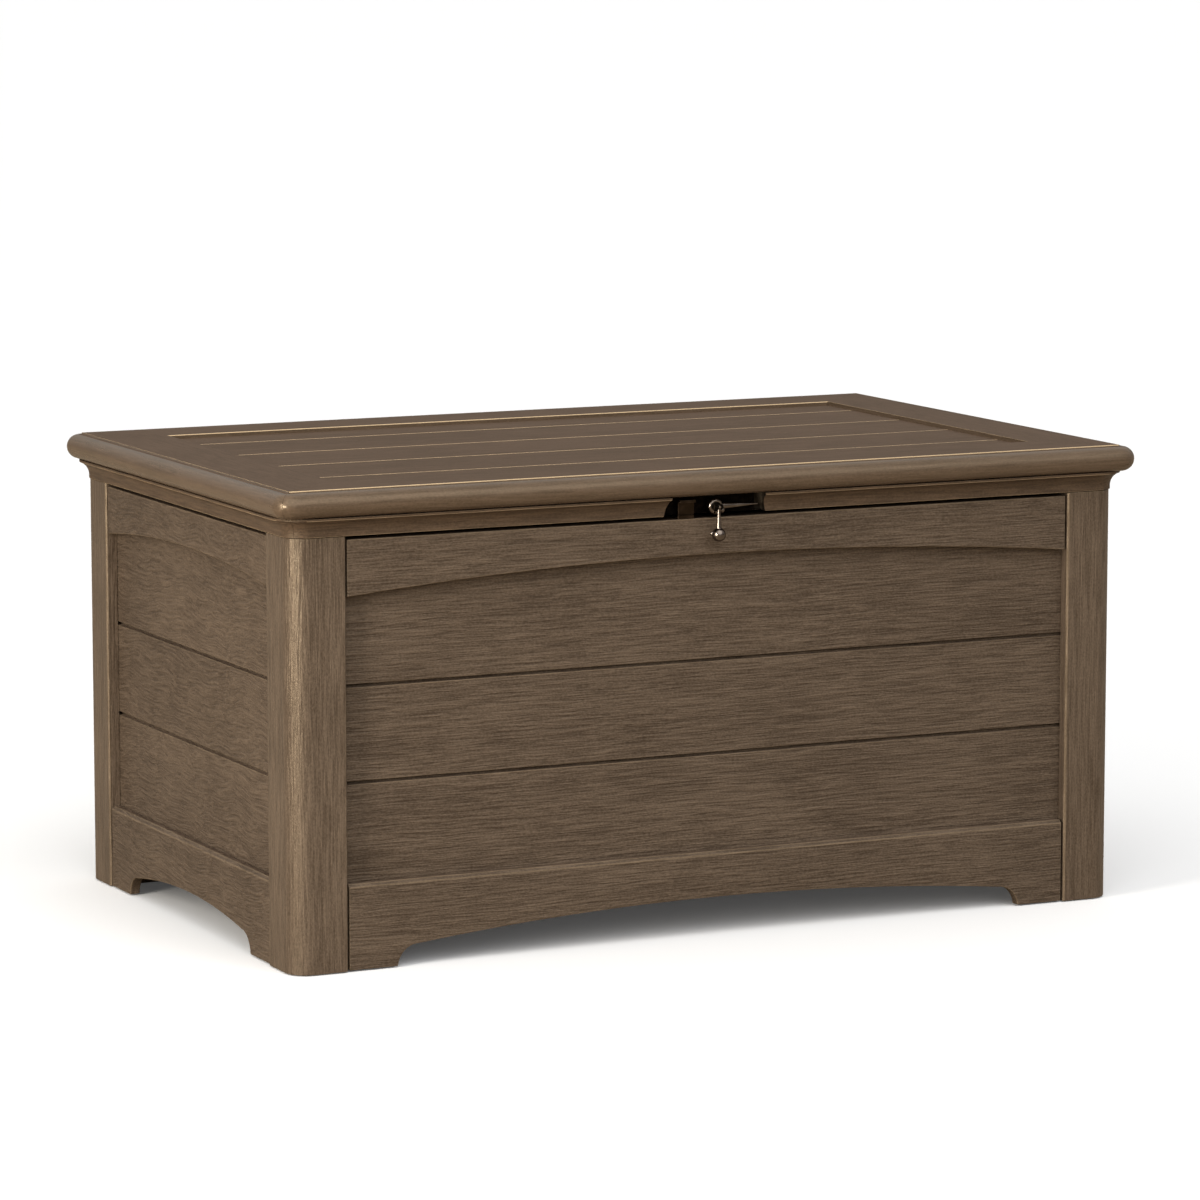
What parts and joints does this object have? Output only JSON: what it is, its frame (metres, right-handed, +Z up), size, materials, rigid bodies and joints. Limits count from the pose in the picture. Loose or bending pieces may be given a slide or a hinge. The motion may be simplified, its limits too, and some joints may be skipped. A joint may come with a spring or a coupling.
{
  "type": "deck storage box",
  "caption": "Low rectangular outdoor storage box with corner posts, board walls, arched rails and skirts, a rear-hinged lid with a rounded edge, and a turn latch with a drop pull.",
  "frame": {"origin": "on the ground under the middle of the box", "axes": "+X along the width, -Y towards the front with the latch, +Z up"},
  "size_m": [1.144, 0.722, 0.568],
  "materials": {
    "wall_board": "wood-grained, satin",
    "lid_top_board": "wood-grained, satin",
    "inner_board": "plain, matte",
    "dark_bronze": "dark bronze, semi-gloss",
    "blackened_steel": "blackened, matte",
    "zinc_steel": "zinc plated",
    "rubber": "matte"
  },
  "bodies": {
    "box_body": {"post_front_left": "wall_board", "post_front_right": "wall_board", "post_rear_left": "wall_board", "post_rear_right": "wall_board", "front_header": "wall_board", "right_header": "wall_board", "rear_header": "wall_board", "left_header": "wall_board", "front_skirt": "wall_board", "right_skirt": "wall_board", "rear_skirt": "wall_board", "left_skirt": "wall_board", "front_board_bottom": "wall_board", "front_board_middle": "wall_board", "front_board_top": "wall_board", "right_board_bottom": "wall_board", "right_board_middle": "wall_board", "right_board_top": "wall_board", "rear_board_bottom": "wall_board", "rear_board_middle": "wall_board", "rear_board_top": "wall_board", "left_board_bottom": "wall_board", "left_board_middle": "wall_board", "left_board_top": "wall_board", "floor_panel": "inner_board", "floor_cleats": "inner_board", "floor_bearers": "inner_board", "cleat_screws": "zinc_steel", "foot_glides": "rubber", "lid_bumpers": "rubber", "hinge_body_leaves": "zinc_steel", "hinge_pins": "zinc_steel", "hinge_body_screws": "zinc_steel", "latch_keeper": "dark_bronze", "keeper_screws": "dark_bronze"},
    "lid": {"lid_frame_front": "lid_top_board", "lid_frame_right": "lid_top_board", "lid_frame_rear": "lid_top_board", "lid_frame_left": "lid_top_board", "lid_cove_front": "wall_board", "lid_cove_right": "wall_board", "lid_cove_rear": "wall_board", "lid_cove_left": "wall_board", "lid_board_1": "lid_top_board", "lid_board_2": "lid_top_board", "lid_board_3": "lid_top_board", "lid_board_4": "lid_top_board", "lid_board_5": "lid_top_board", "lid_battens": "inner_board", "batten_screws": "zinc_steel", "hinge_lid_leaves": "zinc_steel", "hinge_lid_screws": "zinc_steel", "latch_plate": "blackened_steel", "latch_plate_screws": "blackened_steel", "latch_pull_pin": "dark_bronze"},
    "latch_lever": {"latch_lever": "dark_bronze"},
    "latch_pull": {"latch_pull": "dark_bronze"}
  },
  "joints": [
    {"name": "lid_hinge", "type": "hinge", "parent": "box_body", "child": "lid", "pos_m": [0, 0.349, 0.512], "axis": [-1, 0, 0], "range_deg": [0, 100]},
    {"name": "lever_turn", "type": "hinge", "parent": "lid", "child": "latch_lever", "pos_m": [-0.006, -0.339, 0.522], "axis": [0, 1, 0], "range_deg": [0, 180]},
    {"name": "pull_swing", "type": "hinge", "parent": "lid", "child": "latch_pull", "pos_m": [-0.006, -0.3516, 0.522], "axis": [-1, 0, 0], "range_deg": [0, 75]}
  ]
}
